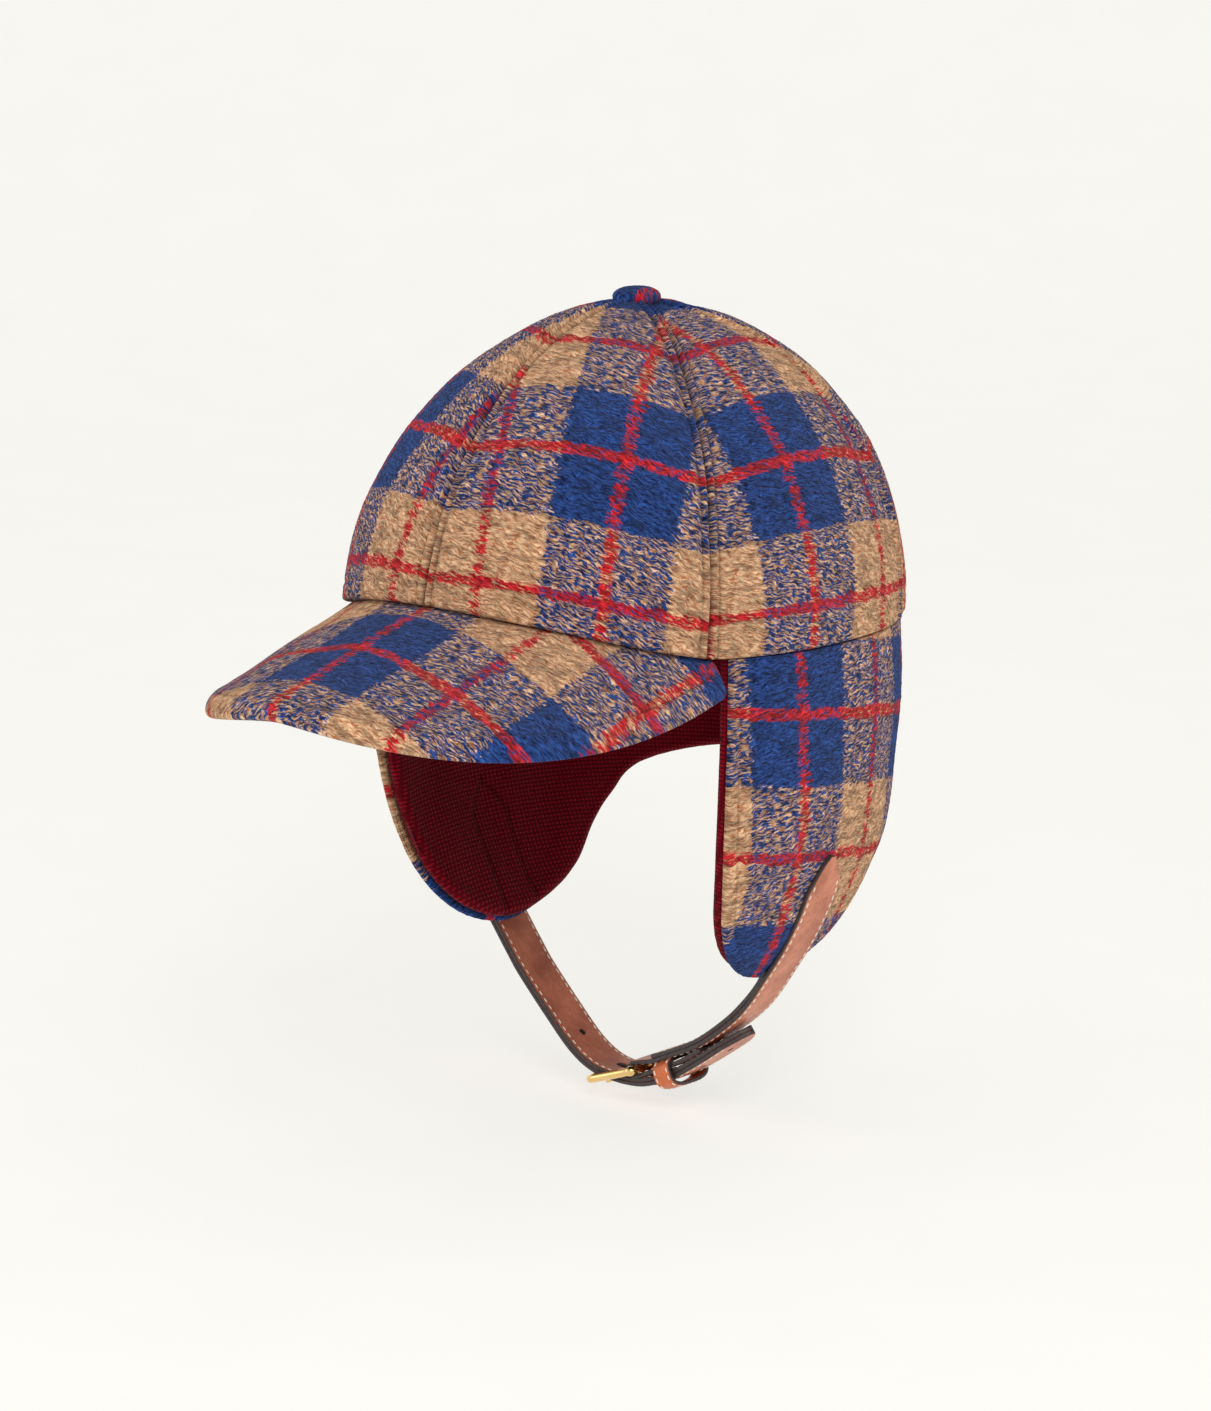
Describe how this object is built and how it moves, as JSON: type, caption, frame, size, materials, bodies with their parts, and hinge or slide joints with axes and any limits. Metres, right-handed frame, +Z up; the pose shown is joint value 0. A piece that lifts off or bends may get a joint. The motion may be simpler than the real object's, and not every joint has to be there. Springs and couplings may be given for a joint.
{
  "type": "trapper hat",
  "caption": "plaid wool cap with six gores, a curved visor, fold-out ear flaps with a neck flap, and a buckled leather chin strap",
  "frame": {"origin": "centre of the head opening, level with the crown's hem, at mount head_opening", "axes": "+Z is up, along mount head_opening; the hat faces -Y; +X is the wearer's left"},
  "size_m": [0.179, 0.2773, 0.2833],
  "materials": {
    "plaid_wool": "brushed plaid wool: blue and tan checks with thin red overcheck lines",
    "crown_lining": "smooth woven lining",
    "sweatband": "ribbed cotton tape",
    "button_metal": "plain pressed steel",
    "visor_board": "moulded stiffener",
    "wadding": "soft fibre wadding",
    "burgundy_knit": "waffle knit",
    "inner_leather": "smooth, with cream stitching",
    "keeper_leather": "smooth, with cream stitching",
    "strap_leather": "smooth, with painted edges and cream stitching",
    "gold_plate": "polished"
  },
  "bodies": {
    "crown": {"crown_front_left": "plaid_wool", "crown_side_left": "plaid_wool", "crown_back_left": "plaid_wool", "crown_back_right": "plaid_wool", "crown_side_right": "plaid_wool", "crown_front_right": "plaid_wool", "lining_front_left": "crown_lining", "lining_side_left": "crown_lining", "lining_back_left": "crown_lining", "lining_back_right": "crown_lining", "lining_side_right": "crown_lining", "lining_front_right": "crown_lining", "sweatband": "sweatband", "button_cover": "plaid_wool", "button_shell": "button_metal", "button_rivet": "button_metal", "visor_top_cover": "plaid_wool", "visor_board": "visor_board", "visor_under_cover": "plaid_wool", "neck_flap_wool": "plaid_wool", "neck_flap_wadding": "wadding", "neck_flap_knit": "burgundy_knit"},
    "left_flap": {"left_flap_wool": "plaid_wool", "left_flap_wadding": "wadding", "left_flap_knit": "burgundy_knit", "left_strap_patch": "strap_leather"},
    "right_flap": {"right_flap_wool": "plaid_wool", "right_flap_wadding": "wadding", "right_flap_knit": "burgundy_knit", "right_strap_patch": "strap_leather"},
    "left_strap": {"left_strap_outer": "strap_leather", "left_strap_inner": "inner_leather", "strap_keeper": "keeper_leather"},
    "right_strap": {"right_strap_outer": "strap_leather", "right_strap_inner": "inner_leather"},
    "buckle": {"buckle_frame": "gold_plate"},
    "prong": {"buckle_prong": "gold_plate"}
  },
  "joints": [
    {"name": "left_flap_fold", "type": "hinge", "parent": "crown", "child": "left_flap", "pos_m": [0.0888, 0, -0.0426], "axis": [0.1499, -0.7796, 0.6081], "range_deg": [0, 104]},
    {"name": "right_flap_fold", "type": "hinge", "parent": "crown", "child": "right_flap", "pos_m": [-0.0888, 0, -0.0426], "axis": [0.1499, 0.7796, -0.6081], "range_deg": [0, 104]},
    {"name": "left_strap_swing", "type": "hinge", "parent": "left_flap", "child": "left_strap", "pos_m": [0.0603, 0.0084, -0.125], "axis": [0.1499, -0.7796, 0.6081], "range_deg": [-55, 0]},
    {"name": "right_strap_swing", "type": "hinge", "parent": "right_flap", "child": "right_strap", "pos_m": [-0.0603, 0.0084, -0.125], "axis": [0.1499, 0.7796, -0.6081], "range_deg": [-55, 0], "deforming": ["right_strap_outer", "right_strap_inner"]},
    {"name": "buckle_tilt", "type": "hinge", "parent": "left_strap", "child": "buckle", "pos_m": [0.0045, 0.0084, -0.1654], "axis": [0, -1, 0], "range_deg": [0, 15]},
    {"name": "prong_tilt", "type": "hinge", "parent": "buckle", "child": "prong", "pos_m": [0.0045, 0.0084, -0.1654], "axis": [0, -1, 0], "range_deg": [0, 40]}
  ],
  "couplings": [
    {"joint": "right_flap_fold", "follows": "left_flap_fold", "ratio": 1},
    {"joint": "left_strap_swing", "follows": "left_flap_fold", "ratio": -0.5},
    {"joint": "right_strap_swing", "follows": "left_flap_fold", "ratio": -0.5}
  ]
}
